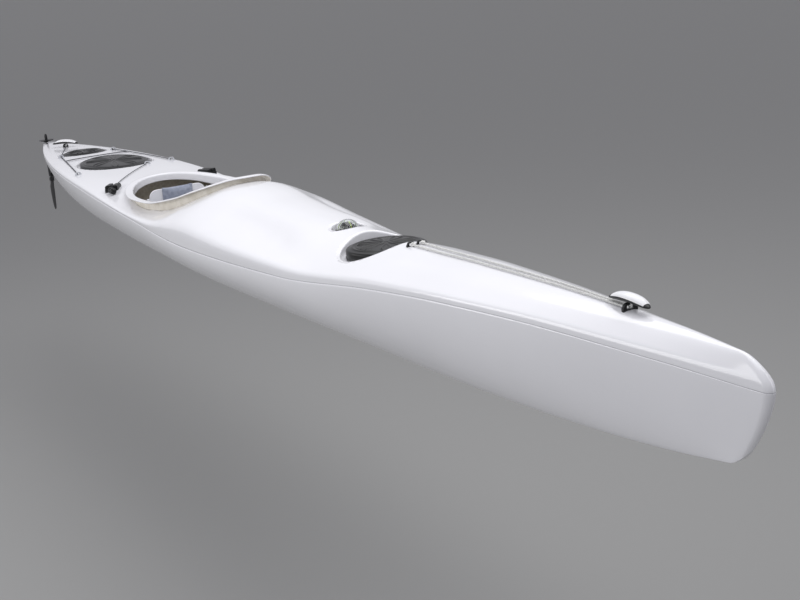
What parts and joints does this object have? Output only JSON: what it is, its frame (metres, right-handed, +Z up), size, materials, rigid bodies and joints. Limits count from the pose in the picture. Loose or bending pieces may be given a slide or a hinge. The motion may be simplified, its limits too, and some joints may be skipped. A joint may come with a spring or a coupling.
{
  "type": "sea kayak",
  "caption": "Slender closed-deck touring boat with sealed hatches, a cockpit with a seat and pedals, a deck compass and a lifting stern rudder.",
  "frame": {"origin": "on the flat of the keel, amidships, on the boat's middle plane", "axes": "+X to the bow, +Y to port, +Z up"},
  "size_m": [5.592, 0.532, 0.4723],
  "materials": {
    "gelcoat": "glossy white gelcoat over laminate",
    "laminate": "bare laminate",
    "black_plastic": "moulded, fine grain",
    "light_plastic": "moulded, smooth",
    "rubber": "moulded, satin",
    "cordage": "braided, with dark flecks",
    "cushion": "woven cover",
    "foam": "closed-cell, matte",
    "card": "printed black and white",
    "clear_dome": "clear, polished",
    "steel": "brushed",
    "aluminium": "anodised"
  },
  "bodies": {
    "root": {"hull": "gelcoat", "deck": "gelcoat", "coaming": "gelcoat", "seat": "gelcoat", "fore_bulkhead": "laminate", "cockpit_bulkhead": "laminate", "stern_bulkhead": "laminate", "seat_cradle": "foam", "seat_pad": "cushion", "hip_pad_port": "cushion", "hip_pad_starboard": "cushion", "back_pad": "cushion", "compass_dome": "clear_dome", "line_toggle": "rubber", "fore_hatch_rim": "black_plastic", "day_hatch_rim": "black_plastic", "stern_hatch_rim": "black_plastic", "compass_housing": "black_plastic", "bow_deck_eye": "black_plastic", "stern_deck_eye": "black_plastic", "fore_line_fitting": "black_plastic", "cleat_port": "black_plastic", "cleat_starboard": "black_plastic", "cleat_line_eye": "light_plastic", "aft_eye_port_front": "light_plastic", "aft_eye_port_back": "light_plastic", "aft_eye_starboard_front": "light_plastic", "aft_eye_starboard_back": "light_plastic", "rudder_bracket": "black_plastic", "rudder_conduit_port": "black_plastic", "rudder_conduit_starboard": "black_plastic", "bow_toggle_loop": "cordage", "stern_toggle_loop": "cordage", "fore_deck_line_port": "cordage", "fore_deck_line_starboard": "cordage", "cleat_line": "cordage", "aft_deck_cord_port": "cordage", "aft_deck_cord_starboard": "cordage", "aft_cross_cord": "cordage", "rudder_line_port": "steel", "rudder_line_starboard": "steel", "footrest_rail_port": "aluminium", "footrest_rail_starboard": "aluminium"},
    "fore_cover": {"fore_hatch_cover": "rubber"},
    "day_cover": {"day_hatch_cover": "rubber"},
    "stern_cover": {"stern_hatch_cover": "rubber"},
    "card": {"compass_card": "card"},
    "bow_toggle": {"bow_toggle_grip": "black_plastic", "bow_toggle_cap": "gelcoat"},
    "stern_toggle": {"stern_toggle_grip": "black_plastic", "stern_toggle_cap": "gelcoat"},
    "rudder": {"rudder_stock": "black_plastic", "rudder_pin": "black_plastic", "rudder_quadrant": "black_plastic", "rudder_pivot_bolt": "steel"},
    "blade": {"rudder_blade": "black_plastic"},
    "footrest": {"footrest_bar": "aluminium", "pedal_pin": "steel"},
    "port_pedal": {"pedal_port": "black_plastic"},
    "starboard_pedal": {"pedal_starboard": "black_plastic"}
  },
  "joints": [
    {"name": "fore_cover_lift", "type": "slide", "parent": "root", "child": "fore_cover", "axis": [0, 0, 1], "range_m": [0, 0.12]},
    {"name": "day_cover_lift", "type": "slide", "parent": "root", "child": "day_cover", "axis": [0, 0, 1], "range_m": [0, 0.12]},
    {"name": "stern_cover_lift", "type": "slide", "parent": "root", "child": "stern_cover", "axis": [0, 0, 1], "range_m": [0, 0.12]},
    {"name": "compass_card_turn", "type": "hinge", "parent": "root", "child": "card", "pos_m": [0.86913, 0, 0.299], "axis": [0, 0, 1], "continuous": true},
    {"name": "bow_toggle_swivel", "type": "hinge", "parent": "root", "child": "bow_toggle", "pos_m": [2.29009, 0, 0.332], "axis": [0, 0, 1], "range_deg": [-90, 90]},
    {"name": "stern_toggle_swivel", "type": "hinge", "parent": "root", "child": "stern_toggle", "pos_m": [-2.39503, 0, 0.27], "axis": [0, 0, 1], "range_deg": [-90, 90]},
    {"name": "rudder_steer", "type": "hinge", "parent": "root", "child": "rudder", "pos_m": [-2.78, 0, 0.17], "axis": [0, 0, 1], "range_deg": [-38, 38]},
    {"name": "blade_lift", "type": "hinge", "parent": "rudder", "child": "blade", "pos_m": [-2.79, 0, 0.066], "axis": [0, 1, 0], "range_deg": [0, 90]},
    {"name": "footrest_slide", "type": "slide", "parent": "root", "child": "footrest", "axis": [1, 0, 0], "range_m": [-0.1, 0.1]},
    {"name": "port_pedal_tilt", "type": "hinge", "parent": "footrest", "child": "port_pedal", "pos_m": [0.43, 0.078, 0.151], "axis": [0, 1, 0], "range_deg": [-19, 19]},
    {"name": "starboard_pedal_tilt", "type": "hinge", "parent": "footrest", "child": "starboard_pedal", "pos_m": [0.43, -0.078, 0.151], "axis": [0, 1, 0], "range_deg": [-19, 19]}
  ],
  "couplings": [
    {"joint": "starboard_pedal_tilt", "follows": "rudder_steer", "ratio": 0.5},
    {"joint": "port_pedal_tilt", "follows": "rudder_steer", "ratio": -0.5}
  ]
}
